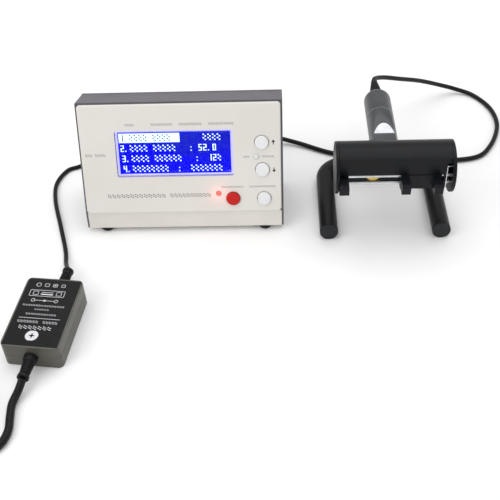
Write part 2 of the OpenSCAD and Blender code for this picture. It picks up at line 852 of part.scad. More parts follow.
module post_screws() {
    low_seat = tube_r + seat(tube_r - tube_t, post_head_d);
    high_seat = axis_z - seat(post_bore_r, post_head_d);
    color("#9A9AA0") placed() translate([mic_x, bar_y, 0]) {
        translate([0, 0, low_seat - post_head_h]) cylinder(d = post_head_d, h = post_head_h);
        translate([0, 0, low_seat - post_head_h]) cylinder(d = post_screw_d, h = 16);
        translate([0, 0, high_seat]) cylinder(d = post_head_d, h = post_head_h);
        translate([0, 0, high_seat - 14]) cylinder(d = post_screw_d, h = 15);
    }
}

// Microphone barrel

module on_barrel(y) {
    placed() translate([mic_x, barrel_y + y, axis_z]) children();
}

module barrel_front() {
    front_l = groove_at - groove_w / 2;
    flat_z = sqrt(pow(barrel_r, 2) - pow(flat_w / 2, 2));
    color("#5A5A5C") on_barrel(0) difference() {
        along_y(barrel_d, front_l);
        translate([0, -over, 0]) along_y(spindle_d + 2 * spindle_gap, bush_l + 2 * over);
        translate([0, bush_l, 0]) along_y(barrel_d - 2 * barrel_t, front_l);
        profile(barrel_d, [
            [-over, flat_z], [flat_l, flat_z], [flat_l + ramp_l, barrel_r + 0.02],
            [flat_l + ramp_l, barrel_d], [-over, barrel_d]
        ]);
        translate([0, bar_y - barrel_y, -barrel_d]) cylinder(d = post_screw_d, h = barrel_d);
    }
}

module barrel_rear() {
    turns = 10;
    color("#5A5A5C") on_barrel(0) difference() {
        translate([0, groove_at, 0]) rotate([-90, 0, 0]) rotate_extrude() polygon(concat(
            [[bore_r, -spigot_l], [barrel_r - barrel_t, -spigot_l], [barrel_r - barrel_t, groove_w / 2],
                [barrel_r, groove_w / 2]],
            [for (i = [0 : turns]) [
                shoulder_r + (barrel_r - shoulder_r) * cos(90 * i / turns),
                barrel_l - groove_at + shoulder_l * sin(90 * i / turns)
            ]],
            [[tail_hole_d / 2, barrel_l - groove_at + shoulder_l],
                [tail_hole_d / 2, barrel_l - groove_at - 1], [bore_r, barrel_l - groove_at - 1]]
        ));
        translate([0, bar_y - barrel_y, -barrel_d]) cylinder(d = post_screw_d, h = barrel_d);
    }
}

module preamp_board() {
    t = 1.2;
    half = sqrt(pow(bore_r, 2) - pow(t, 2));
    color("#1F6B3A") on_barrel(bush_l + 10) translate([-half, 0, 0])
        cube([2 * half, barrel_l - bush_l - 14, t]);
}

module tail_relief() {
    ribs = 5;
    pitch = (tail_l - 3) / ribs;
    color("#1A1A1A") on_barrel(barrel_l + shoulder_l) {
        translate([0, -shoulder_l, 0]) along_y(tail_hole_d, shoulder_l + 1);
        rotate([-90, 0, 0]) cylinder(r1 = shoulder_r - 1, r2 = 2.6, h = tail_l);
        for (i = [0 : ribs - 1]) translate([0, i * pitch, 0]) rotate([-90, 0, 0])
            cylinder(r1 = shoulder_r - 0.3 - i * 0.6, r2 = shoulder_r - 0.8 - i * 0.6, h = pitch * 0.6);
    }
}

module swivel_spindle() {
    color("#A8A8AC") placed() translate([mic_x, 0, axis_z]) {
        translate([0, holder_y + holder_r - spindle_root, 0])
            along_y(spindle_d, spindle_root + barrel_gap + bush_l + collar_gap + collar_t);
        translate([0, barrel_y + bush_l + collar_gap, 0]) along_y(collar_d, collar_t);
    }
}

// Watch holder: local frame on its axis, X along it

module on_holder(x = 0, y = 0, z = 0) {
    placed() translate([x, holder_y + y, axis_z + z]) children();
}

module rod_holes(x, l) {
    for (z = rod_zs) on_holder(x - over, rod_y, z) along_x(rod_d, l + 2 * over);
}

module holder_body() {
    long = holder_end - body_left;
    color("#141417") difference() {
        on_holder(body_left) intersection() {
            along_x(head_d, long);
            translate([0, -flat_off, body_low]) cube([long, head_d, head_d]);
        }
        on_holder(channel_left, -head_d, -head_d)
            cube([channel_right - channel_left, head_d + channel_back, head_d + channel_top]);
        on_holder(body_right, -head_d, -head_d)
            cube([clip_gap + over, head_d + channel_back, head_d + notch_top]);
        rod_holes(body_left, long);
        on_holder(mic_x, holder_r - spindle_root) along_y(spindle_d, spindle_root + over);
        on_holder((channel_left + jaw_x) / 2, channel_back - over, -5.5)
            along_y(sensor_d, sensor_t + 1 + over);
    }
}

module left_disc() {
    color("#101013") on_holder(holder_left) along_x(head_d, disc_t);
}

module right_disc() {
    color("#101013") difference() {
        on_holder(holder_right - disc_t) along_x(head_d, disc_t);
        for (z = rod_zs) on_holder(holder_right - disc_t - over, rod_y, z) along_x(rod_d, rod_in + over);
    }
}

module jaw_prong(w) {
    nose = 2;
    low = jaw_zs[0];
    high = jaw_zs[1];
    rotate([90, 0, 90]) linear_extrude(w) polygon([
        [-flat_off, low], [-flat_off, high], [-flat_off - jaw_out + nose, high],
        [-flat_off - jaw_out, high - nose], [-flat_off - jaw_out, low + nose],
        [-flat_off - jaw_out + nose, low]
    ]);
}

module fixed_jaw() {
    color("#101013") on_holder(body_left) difference() {
        jaw_prong(fixed_jaw_w);
        for (i = [1 : 3]) translate([-over, -flat_off - 1 - i * 2.6, jaw_zs[1] - 0.8])
            cube([fixed_jaw_w + 2 * over, 1.2, 2]);
    }
}

module sliding_jaw() {
    plate_low = body_low;
    plate_high = channel_top - slide_gap;
    color("#15161C") difference() {
        on_holder(jaw_x) {
            translate([0, -flat_off - 0.5, plate_low])
                cube([jaw_w, flat_off + 0.5 + channel_back - slide_gap, plate_high - plate_low]);
            jaw_prong(prong_w);
            translate([jaw_w - prong_w, 0, 0]) jaw_prong(prong_w);
        }
        for (z = rod_zs) on_holder(jaw_x - over, rod_y, z) along_x(rod_d + 2 * rod_gap, jaw_w + 2 * over);
    }
}

module guide_rods() {
    color("#B4B4B8") for (z = rod_zs) on_holder(body_left, rod_y, z)
        along_x(rod_d, holder_right - disc_t + rod_in - body_left);
}

module contact_spring() {
    color("#D0D0D0") difference() {
        on_holder(body_right) {
            translate([0, -flat_off + 1, -0.8 * holder_r])
                cube([spring_t, flat_off + channel_back - 1, holder_r * 1.2]);
            translate([0, -flat_off + 1, 0.4 * holder_r - spring_t])
                cube([clip_gap, flat_off + channel_back - 1, spring_t]);
        }
        rod_holes(body_right, spring_t);
    }
}

module sensor_disc() {
    color("#C8A850") on_holder((channel_left + jaw_x) / 2, channel_back + 1, -5.5)
        along_y(sensor_d, sensor_t);
}

base_pan();
front_panel();
top_cover();
rear_plate();
cover_screws();
lcd_window();
lcd_frame();
lcd_glass();
lcd_board();
panel_screws();
button_up();
button_down();
button_menu();
button_start();
key_board();
key_switches();
run_led();
signal_led();
main_board();
board_chips();
board_standoffs();
board_screws();
speaker();
dc_jack();
mic_jack();
mic_jack_nut();
console_feet();
adapter_top();
adapter_bottom();
adapter_board();
adapter_transformer();
dc_relief();
mains_relief();
dc_plug();
dc_lead();
mic_plug();
mic_lead();
mains_lead();
mains_coil();
mains_tail();
mains_plug();
plug_pins();
cable_tie();
stand_tube();
tube_plugs();
stand_post();
post_screws();
barrel_front();
barrel_rear();
preamp_board();
tail_relief();
swivel_spindle();
holder_body();
left_disc();
right_disc();
fixed_jaw();
sliding_jaw();
guide_rods();
contact_spring();
sensor_disc();
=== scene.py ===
import json
import math

import bpy
from mathutils import Matrix, Vector

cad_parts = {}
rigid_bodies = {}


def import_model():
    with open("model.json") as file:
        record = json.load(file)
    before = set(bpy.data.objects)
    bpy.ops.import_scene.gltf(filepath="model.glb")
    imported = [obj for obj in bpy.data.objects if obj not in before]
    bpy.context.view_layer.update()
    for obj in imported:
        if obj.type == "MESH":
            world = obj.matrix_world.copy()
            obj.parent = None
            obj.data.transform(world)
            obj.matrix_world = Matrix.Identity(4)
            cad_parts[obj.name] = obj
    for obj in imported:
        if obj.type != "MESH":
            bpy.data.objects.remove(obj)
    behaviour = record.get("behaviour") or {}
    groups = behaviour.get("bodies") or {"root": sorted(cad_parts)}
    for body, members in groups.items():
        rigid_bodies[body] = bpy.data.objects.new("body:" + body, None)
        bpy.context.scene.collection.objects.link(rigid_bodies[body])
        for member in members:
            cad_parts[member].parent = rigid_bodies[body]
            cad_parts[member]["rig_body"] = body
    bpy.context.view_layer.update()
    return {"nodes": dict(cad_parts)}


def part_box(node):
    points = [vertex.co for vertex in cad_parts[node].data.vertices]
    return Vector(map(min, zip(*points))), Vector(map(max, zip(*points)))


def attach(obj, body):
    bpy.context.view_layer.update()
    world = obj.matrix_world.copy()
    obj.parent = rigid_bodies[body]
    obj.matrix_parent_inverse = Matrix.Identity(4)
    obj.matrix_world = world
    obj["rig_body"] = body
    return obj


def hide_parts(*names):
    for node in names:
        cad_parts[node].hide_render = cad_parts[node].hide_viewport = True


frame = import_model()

MM = 0.001


# --- Camera -------------------------------------------------------------------------------
# A 62 mm lens, held a little right of the console and looking down at it by 43 degrees,
# turned and tipped by under three degrees, as a hand-held product view is.
camera_data = bpy.data.cameras.new("camera")
camera_data.sensor_width = 36
camera_data.lens = 62.3
camera_data.clip_start = 0.05
camera_data.clip_end = 20
camera = bpy.data.objects.new("camera", camera_data)
bpy.context.scene.collection.objects.link(camera)
camera.matrix_world = (
    Matrix.Translation(Vector((29.2, -501.5, 466.6)) * MM)
    @ Matrix.Rotation(math.radians(2.72), 4, "Z")
    @ Matrix.Rotation(math.radians(90 - 43.29), 4, "X")
    @ Matrix.Rotation(math.radians(-2.69), 4, "Z")
)
bpy.context.scene.camera = camera


# --- Studio -------------------------------------------------------------------------------
# A white paper sweep lit by a large soft box overhead and a weaker one from the front left,
# in a bright room, so that shadows are short and pale.
def linear(colour):
    channels = [int(colour[i:i + 2], 16) / 255 for i in (1, 3, 5)]
    return [c / 12.92 if c <= 0.04045 else ((c + 0.055) / 1.055) ** 2.4 for c in channels] + [1]


def add_node(tree, kind, values=None, links=None):
    """Adds a node, with its sockets' values and what feeds its sockets."""
    node = tree.nodes.new(kind)
    for name, value in (values or {}).items():
        node.inputs[name].default_value = value
    for name, source in (links or {}).items():
        tree.links.new(source, node.inputs[name])
    return node


def finish(name, light, dark, roughness, grain=1.2, mottle=25, bump=0.15, stretch=(1, 1, 1), **sockets):
    """A surface with a fine grain and slow, faint changes of colour. Its sizes are in mm."""
    material = bpy.data.materials.new(name)
    material.use_nodes = True
    tree = material.node_tree
    shader = tree.nodes["Principled BSDF"]
    for socket, value in sockets.items():
        shader.inputs[socket.replace("_", " ")].default_value = value
    place = add_node(tree, "ShaderNodeTexCoord").outputs["Object"]
    along = add_node(tree, "ShaderNodeMapping", values={"Scale": stretch}, links={"Vector": place}).outputs[0]
    slow = add_node(tree, "ShaderNodeTexNoise", values={"Scale": 1000 / mottle, "Detail": 4},
                    links={"Vector": place})
    fine = add_node(tree, "ShaderNodeTexNoise", values={"Scale": 1000 / grain, "Detail": 2},
                    links={"Vector": along})
    ramp = add_node(tree, "ShaderNodeValToRGB", links={"Fac": slow.outputs[0]})
    ramp.color_ramp.elements[0].position = 0.32
    ramp.color_ramp.elements[1].position = 0.68
    ramp.color_ramp.elements[0].color = linear(dark)
    ramp.color_ramp.elements[1].color = linear(light)
    tree.links.new(ramp.outputs["Color"], shader.inputs["Base Color"])
    gloss = add_node(tree, "ShaderNodeMapRange", links={"Value": fine.outputs[0]},
                     values={"To Min": roughness - 0.06, "To Max": roughness + 0.06})
    tree.links.new(gloss.outputs["Result"], shader.inputs["Roughness"])
    relief = add_node(tree, "ShaderNodeBump", values={"Strength": bump, "Distance": 0.0002},
                      links={"Height": fine.outputs[0]})
    tree.links.new(relief.outputs["Normal"], shader.inputs["Normal"])
    return material


bpy.ops.object.select_all(action="DESELECT")
bpy.ops.mesh.primitive_plane_add(size=8, location=(0, 0, -0.0002))
floor = bpy.context.object
floor.name = "floor"
# Matt paper: a faint tooth and no gloss
floor.data.materials.append(finish("white_paper_sweep", "#FBFBFB", "#F8F8F8", 0.9, grain=3, mottle=300,
                                   bump=0.03))

bpy.context.scene.view_settings.view_transform = "Standard"
world = bpy.data.worlds.new("bright_room")
world.use_nodes = True
world.node_tree.nodes["Background"].inputs["Color"].default_value = (1, 1, 1, 1)
world.node_tree.nodes["Background"].inputs["Strength"].default_value = 0.72
bpy.context.scene.world = world

for name, place, size, power in (
    ("soft_box_top", (0.1, 0.3, 1.3), 1.4, 8),
    ("soft_box_left", (-0.9, -0.7, 0.9), 0.9, 5),
):
    lamp_data = bpy.data.lights.new(name, "AREA")
    lamp_data.size = size
    lamp_data.energy = power
    lamp = bpy.data.objects.new(name, lamp_data)
    bpy.context.scene.collection.objects.link(lamp)
    lamp.location = place
    lamp.rotation_euler = (Vector((0, 0, 0.03)) - lamp.location).to_track_quat("-Z", "Y").to_euler()


# --- Base pan -----------------------------------------------------------------------------
# The console's floor and lower front band: one folded sheet of steel, powder-coated cream.
# Screws through its floor hold the cover's tabs.
def only(piece):
    """Makes a piece the one that is selected and active."""
    for other in bpy.context.view_layer.objects:
        other.select_set(False)
    piece.select_set(True)
    bpy.context.view_layer.objects.active = piece


def place_of(edge, mesh):
    return (mesh.vertices[edge.vertices[0]].co + mesh.vertices[edge.vertices[1]].co) / 2


SHARP_ANGLE = 30


def round_edges(piece, width, segments=3, where=None):
    """Rounds the sharp edges whose middles pass a test. The width is in mm."""
    only(piece)
    bpy.ops.object.mode_set(mode="EDIT")
    bpy.ops.mesh.select_mode(type="EDGE")
    bpy.ops.mesh.select_all(action="DESELECT")
    bpy.ops.mesh.edges_select_sharp(sharpness=math.radians(SHARP_ANGLE))
    bpy.ops.object.mode_set(mode="OBJECT")
    for edge in piece.data.edges:
        if edge.select and where and not where(place_of(edge, piece.data)):
            edge.select = False
    bpy.ops.object.mode_set(mode="EDIT")
    bpy.ops.mesh.bevel(offset=width * MM, segments=segments, affect="EDGES", clamp_overlap=True)
    bpy.ops.object.mode_set(mode="OBJECT")


def smooth(piece, angle=35):
    """Shades a piece smooth over its small turns, and flat over its flat faces."""
    only(piece)
    bpy.ops.object.shade_smooth_by_angle(angle=math.radians(angle))
    weigh = piece.modifiers.new("even_flats", "WEIGHTED_NORMAL")
    weigh.keep_sharp = True
    bpy.ops.object.modifier_apply(modifier=weigh.name)


def centre(node):
    low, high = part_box(node)
    return (low + high) / 2


def stands_for(piece, slot, *nodes):
    """Puts a piece in the place of solids, on their body. The slot is not used."""
    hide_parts(*nodes)
    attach(piece, frame["nodes"][nodes[0]]["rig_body"])


def solid_shell(node, name, material):
    """A clean copy of a solid, with its loose triangles merged, ready to be worked."""
    piece = bpy.data.objects.new(name, frame["nodes"][node].data.copy())
    bpy.context.scene.collection.objects.link(piece)
    piece.data.materials.clear()
    piece.data.materials.append(material)
    only(piece)
    bpy.ops.object.mode_set(mode="EDIT")
    bpy.ops.mesh.select_all(action="SELECT")
    bpy.ops.mesh.remove_doubles(threshold=2e-6)
    bpy.ops.mesh.dissolve_limited(angle_limit=math.radians(0.6))
    bpy.ops.mesh.normals_make_consistent(inside=False)
    bpy.ops.object.mode_set(mode="OBJECT")
    return piece


def worked(node, name, material, slot, width=0.3, segments=2):
    """A solid with all its edges broken, standing for its node."""
    piece = solid_shell(node, name, material)
    round_edges(piece, width, segments)
    smooth(piece)
    stands_for(piece, slot, node)
    return piece


def dress(node, material):
    for held in frame["nodes"][node].material_slots:
        held.material = material


# Powder coat gives a fine orange peel and a low sheen
cream = finish("cream_powder_coat", "#DEDAD3", "#D8D4CC", 0.48, grain=1.4, bump=0.12)
worked("base_pan", "folded_base_pan", cream, "cream_plastic", 0.6, 3)


# --- Main board ---------------------------------------------------------------------------
# The measuring circuit on glass-epoxy board, on brass standoffs, with its chips, its small
# speaker beside it and zinc-plated screws.
# Solder mask is a thin green lacquer: glossy, and mottled by the weave under it
green_board = finish("green_solder_mask", "#1F7040", "#17552F", 0.3, grain=0.8, mottle=6, bump=0.2)
zinc = finish("zinc_plated_steel", "#D0D1D4", "#B9BBC0", 0.3, grain=0.9, mottle=8, Metallic=1.0)
brass = finish("turned_brass", "#D9BC62", "#C2A24C", 0.25, grain=0.5, mottle=8, stretch=(1, 1, 6),
               Metallic=1.0)
chip_plastic = finish("epoxy_moulding", "#2A2A2C", "#1C1C1E", 0.6, grain=0.4, mottle=5)
speaker_cone = finish("coated_paper_cone", "#2E2C2A", "#1E1D1C", 0.75, grain=0.7, mottle=6, bump=0.4)
tin = finish("tinned_steel_can", "#C6C7CA", "#AEB0B4", 0.35, grain=0.6, mottle=6, Metallic=1.0)
dress("main_board", green_board)
dress("board_standoffs", brass)
dress("board_chips", chip_plastic)
dress("board_screws", zinc)
dress("speaker", speaker_cone)
dress("key_switches", tin)
dress("key_board", green_board)
dress("lcd_board", green_board)
dress("panel_screws", zinc)


# --- Front panel --------------------------------------------------------------------------
# A thick moulded panel in cream, leaning back 19.5 degrees, with a rounded rim. Its window,
# four button holes and two lamp holes are moulded through, and posts behind it hold boards.
panel_low, panel_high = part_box("front_panel")
lean = math.radians(19.5)
up = Vector((0, math.sin(lean), math.cos(lean)))
out = Vector((0, -math.cos(lean), math.sin(lean)))
panel_foot = Vector((
    (panel_low.x + panel_high.x) / 2,
    panel_low.y - 0.4 * MM * up.y - 2 * MM * out.y,
    panel_low.z - 0.4 * MM * up.z + 3 * MM * out.z,
))
on_panel = Matrix.Translation(panel_foot) @ Matrix((Vector((1, 0, 0)), up, out)).transposed().to_4x4()
off_panel = on_panel.inverted()


def panel_place(point):
    """Right of the panel's centre line, up its slope and out of it, in mm."""
    return off_panel @ Vector(point) / MM


cream_panel = finish("cream_abs_panel", "#E2DFD9", "#DCD8D1", 0.45, grain=1.6, bump=0.10, mottle=60)
panel = solid_shell("front_panel", "moulded_front_panel", cream_panel)
half_width = (panel_high.x - panel_low.x) / 2 / MM
round_edges(panel, 1.5, 4, where=lambda at: panel_place(at).z > 1.9 and not (
    abs(panel_place(at).x) < half_width - 3 and 3 < panel_place(at).y < 85))
round_edges(panel, 0.3, 2, where=lambda at: panel_place(at).z > 1.9 and (
    abs(panel_place(at).x) < half_width - 3 and 3 < panel_place(at).y < 85))
smooth(panel)
stands_for(panel, "cream_plastic", "front_panel")


# --- Display ------------------------------------------------------------------------------
# A blue negative dot display: a glass cell on its own board, lit from the sides. A clear acrylic pane in the
# panel covers it. The white frame round the blue glows as painted light, in place of the lamp light the pane
# keeps off.
def film(name, frame_matrix, rectangles, material, rise):
    """A thin film of small rectangles (x, y, width, height), in mm, that lies on a surface."""
    corners, faces = [], []
    for x, y, w, h in rectangles:
        faces.append(tuple(range(len(corners), len(corners) + 4)))
        corners += [frame_matrix @ (Vector(c) * MM) for c in (
            (x, y, rise), (x + w, y, rise), (x + w, y + h, rise), (x, y + h, rise))]
    mesh = bpy.data.meshes.new(name)
    mesh.from_pydata(corners, [], faces)
    mesh.materials.append(material)
    piece = bpy.data.objects.new(name, mesh)
    bpy.context.scene.collection.objects.link(piece)
    return piece


# A digit's strokes in a cell one wide and one high: a top, g middle, d foot, f b upper and e c
# lower uprights. A hash is no letter but a chequer of small squares, two wide and four high,
# whose sizes and steps are shares of its cell.
INK_RISE = 0.03
STROKES = {"a": (0, 1, 1, 1), "g": (0, .5, 1, .5), "d": (0, 0, 1, 0), "f": (0, .5, 0, 1), "b": (1, .5, 1, 1),
           "e": (0, 0, 0, .5), "c": (1, 0, 1, .5)}
DIGITS = {"0": "abcdef", "1": "bc", "2": "abged", "3": "abgcd", "4": "fgbc", "5": "afgcd"}
CHEQUER = "10011001"
SQUARE_W, SQUARE_H = 0.42, 0.2
STEP_X, STEP_Y = 0.56, 0.265


def line_of(text, x, y, pitch, width, height, stroke, upright):
    """The rectangles of a line of signs that starts at x, y."""
    marks = []
    for i, sign in enumerate(text):
        left = x + i * pitch
        if sign in ".:":
            heights = (0, 0.5) if sign == ":" else (0,)
            marks += [(left, y + height * part, upright, stroke * 1.5) for part in heights]
        if sign == "#":
            marks += [(left + n % 2 * width * STEP_X, y + (3 - n // 2) * height * STEP_Y,
                       width * SQUARE_W, height * SQUARE_H) for n in range(8) if CHEQUER[n] == "1"]
        for part in DIGITS.get(sign, ""):
            x0, y0, x1, y1 = STROKES[part]
            thick_x, thick_y = (upright, 0) if x0 == x1 else (0, stroke)
            marks.append((left + x0 * (width - thick_x), y + y0 * (height - stroke),
                          (x1 - x0) * width + thick_x,
                          (y1 - y0) * (height - stroke) + thick_y + (stroke if x0 == x1 else 0)))
    return marks


glass = finish("blue_display_cell", "#02024A", "#020240", 0.3, grain=0.456, mottle=40, bump=0.01,
               Emission_Color=linear("#0000FF"), Emission_Strength=0.95, Specular_IOR_Level=0.1)
# The frame's glow is painted light, standing in for lamp light that the pane over it keeps off
frame_painted_glow = finish("white_frame_painted_glow", "#DCDCF4", "#CFCFEE", 0.4, grain=1, mottle=20,
                    Emission_Color=linear("#C9C6FF"), Emission_Strength=0.75)
acrylic = finish("clear_acrylic", "#FFFFFF", "#F8F8FF", 0.08, grain=2, mottle=40, bump=0.0,
                 Transmission_Weight=1.0, IOR=1.2)
lit_dots = finish("lit_display_dots", "#DDF4FF", "#CFEFFF", 0.5, grain=0.456, mottle=40,
                  Emission_Color=linear("#D6F2FF"), Emission_Strength=0.9)
dark_dots = finish("dark_display_dots", "#123078", "#0E2868", 0.5, grain=0.456, mottle=40,
                   Emission_Color=linear("#24468C"), Emission_Strength=0.5)
dress("lcd_glass", glass)
dress("lcd_frame", frame_painted_glow)
dress("lcd_window", acrylic)

cell_places = [panel_place(corner.co) for corner in frame["nodes"]["lcd_glass"].data.vertices]
cell_left, cell_right = min(p.x for p in cell_places), max(p.x for p in cell_places)
cell_foot, cell_top = min(p.y for p in cell_places), max(p.y for p in cell_places)
cell_face = max(p.z for p in cell_places)
column_w, row_h = (cell_right - cell_left) / 24, (cell_top - cell_foot) / 4


def display_line(row, column, text):
    return line_of(text, cell_left + column * column_w + 0.6, cell_top - row * row_h + 1.5, column_w, 2.6,
                   5.2, 0.62, 0.8)


lit = (display_line(1, 18, "####") + display_line(2, 0.3, "2.#### #####   :") + display_line(2, 17, "52.0")
       + display_line(3, 0.5, "3.#### ######   :") + display_line(3, 19, "12#")
       + display_line(4, 0.6, "4.########  :") + display_line(4, 15.2, "#######"))
lit.append((cell_left + 0.8, cell_top - row_h + 0.4, 13 * column_w, row_h - 0.9))
display_dots = film("display_dots", on_panel, lit, lit_dots, cell_face + INK_RISE)
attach(display_dots, "unit")
chosen_line = film("display_chosen_line", on_panel, display_line(1, 0.3, "1.#### ####   :"), dark_dots,
                   cell_face + 2 * INK_RISE)
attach(chosen_line, "unit")


# --- Buttons and lamps --------------------------------------------------------------------
# Four moulded caps, three white and one red, that stand 2 mm proud of the panel, each on a
# stem over its switch. The run lamp glows red, and the signal lamp is clear and unlit.
white_cap = finish("white_abs_cap", "#E9E9EA", "#E2E2E4", 0.35, grain=1, mottle=12, bump=0.05,
                   Coat_Weight=0.2)
red_cap = finish("red_abs_cap", "#C4160F", "#B5120C", 0.4, grain=1, mottle=12, bump=0.05,
                 Specular_IOR_Level=0.3)
for node, material, slot in (("button_up", white_cap, "white_cap"), ("button_down", white_cap, "white_cap"),
                             ("button_menu", white_cap, "white_cap"), ("button_start", red_cap, "red_cap")):
    cap = solid_shell(node, node.replace("button", "cap"), material)
    round_edges(cap, 0.9, 4, where=lambda at: panel_place(at).z > 3.9)
    smooth(cap)
    stands_for(cap, slot, node)

red_lens = finish("lit_red_epoxy", "#C83030", "#B82828", 0.2, grain=1, mottle=4, bump=0.02,
                  Emission_Color=linear("#FF6A5C"), Emission_Strength=1.0)
clear_lens = finish("clear_epoxy_lens", "#F4F6F0", "#E8EAE4", 0.12, grain=1, mottle=3, bump=0.02,
                    Transmission_Weight=0.15, Coat_Weight=0.5)
for node, material, slot in (("run_led", red_lens, "red_lamp"), ("signal_led", clear_lens, "clear_lamp")):
    lens = solid_shell(node, node.replace("led", "lamp"), material)
    round_edges(lens, 1.4, 5, where=lambda at: panel_place(at).z > 2.5)
    smooth(lens)
    stands_for(lens, slot, node)

halo_data = bpy.data.lights.new("run_lamp_glow", "POINT")
halo_data.energy = 0.0012
halo_data.color = (1, 0.12, 0.1)
halo_data.shadow_soft_size = 0.001
halo = bpy.data.objects.new("run_lamp_glow", halo_data)
bpy.context.scene.collection.objects.link(halo)
halo_ahead = 9 * MM
halo.location = centre("run_led") + out * halo_ahead


# --- Printed legends ----------------------------------------------------------------------
# Black pad-printed ink, a few hundredths of a millimetre thick. Rows of chequers stand in the
# places of words: four over the display, a title under it, one by each control.
ink = finish("black_pad_ink", "#121216", "#0C0C10", 0.5, grain=0.8, mottle=5)


def legend(left, right, foot, height, count):
    """A row of chequers in the place of a word, from left to right, in mm."""
    pitch = (right - left) / count
    return line_of("#" * count, left, foot, pitch, pitch * 0.78, height, 0, 0)


# Left, right, foot and height of each row in mm, and how many chequers it has
legends = []
for row in (
    (-41.4, -34.1, 71.3, 1.9, 4),
    (-21.4, -4.5, 71.3, 1.9, 9),
    (0.1, 17.7, 71.3, 1.9, 9),
    (22.6, 42.1, 71.3, 1.9, 10),
    (-59.5, -13, 13.2, 3.0, 13),
    (-10, 22.4, 13.2, 3.0, 10),
    (-74, -68.5, 47.4, 2.1, 3),
    (-66.5, -57.9, 47.4, 2.1, 4),
    (30.5, 48.2, 20.3, 1.5, 10),
    (52.5, 73.3, 20.3, 1.5, 12),
    (48.5, 53.2, 44.7, 1.5, 3),
    (63.2, 72.5, 44.7, 1.5, 5),
):
    legends += legend(*row)
for x, tip, way in ((71.7, 58.5, -1), (72.0, 32.7, 1)):
    legends += [(x - 0.35, min(tip, tip + way * 3.6), 0.7, 3.6)]
    legends += [(x - 0.4 - i * 0.3, tip + way * (0.2 + i * 0.45) - 0.22, 0.8 + i * 0.6, 0.45)
                for i in range(4)]
panel_face = 2
panel_legends = film("panel_legends", on_panel, legends, ink, panel_face + INK_RISE)
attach(panel_legends, "unit")


# --- Cover and rear plate -----------------------------------------------------------------
# The cover is a folded steel sheet, painted mid grey, with its upper side edges broken. The flat
# rear plate closes it, with both jacks in it. Cross-head screws hold them to the tabs.
grey_paint = finish("grey_hammered_paint", "#5F5C63", "#57545A", 0.42, grain=1.5, mottle=18, bump=0.2,
                    Specular_IOR_Level=0.3)
plate_paint = finish("dark_grey_paint", "#4C4A4E", "#444246", 0.45, grain=1.5, mottle=18, bump=0.2)
cover_low, cover_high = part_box("top_cover")
cover = solid_shell("top_cover", "folded_top_cover", grey_paint)
round_edges(cover, 2.6, 5, where=lambda at: at.z > 19 * MM and (
    at.x < cover_low.x + 0.1 * MM or at.x > cover_high.x - 0.1 * MM) and at.y < cover_high.y - 0.2 * MM)
smooth(cover)
stands_for(cover, "grey_cover", "top_cover")
worked("rear_plate", "rear_closing_plate", plate_paint, "dark_plate", 0.3, 2)
foot_rubber = finish("black_rubber", "#1E1E1F", "#161617", 0.75, grain=0.8, mottle=8, bump=0.4,
                     Specular_IOR_Level=0.2)
worked("console_feet", "rubber_feet", foot_rubber, "black_rubber", 0.6, 3)

black_screws = finish("blacked_steel_screws", "#343436", "#28282A", 0.35, grain=0.7, mottle=6, Metallic=1.0)


def cross_screws(name, node, material, slot):
    """Pan-head screws with a cross recess, one at each of a node's solids."""
    whole = solid_shell(node, name, material)
    round_edges(whole, 0.5, 3, where=lambda at: True)
    bpy.ops.object.mode_set(mode="EDIT")
    bpy.ops.mesh.separate(type="LOOSE")
    bpy.ops.object.mode_set(mode="OBJECT")
    loose = [piece for piece in bpy.context.selected_objects if piece.type == "MESH"]
    for piece in loose:
        low = Vector([min(v.co[i] for v in piece.data.vertices) for i in range(3)])
        high = Vector([max(v.co[i] for v in piece.data.vertices) for i in range(3)])
        middle = (low + high) / 2
        faces_back = high.y - low.y > high.z - low.z
        head = Vector((middle.x, high.y, middle.z)) if faces_back else Vector((middle.x, middle.y, low.z))
        arms = ((3.6, 1.6, 0.7), (0.7, 1.6, 3.6)) if faces_back else ((3.6, 0.7, 1.6), (0.7, 3.6, 1.6))
        for size in arms:
            bpy.ops.mesh.primitive_cube_add(size=1, location=head)
            cutter = bpy.context.object
            cutter.scale = Vector(size) * MM
            bpy.ops.object.transform_apply(location=False, rotation=False, scale=True)
            only(piece)
            cut = piece.modifiers.new("recess", "BOOLEAN")
            cut.operation, cut.object, cut.solver = "DIFFERENCE", cutter, "EXACT"
            bpy.ops.object.modifier_apply(modifier=cut.name)
            bpy.data.objects.remove(cutter)
    for piece in loose:
        piece.select_set(True)
    bpy.context.view_layer.objects.active = loose[0]
    bpy.ops.object.join()
    joined = bpy.context.object
    joined.name = name
    smooth(joined)
    stands_for(joined, slot, node)
    return joined


cross_screws("case_screws", "cover_screws", black_screws, "black_steel")


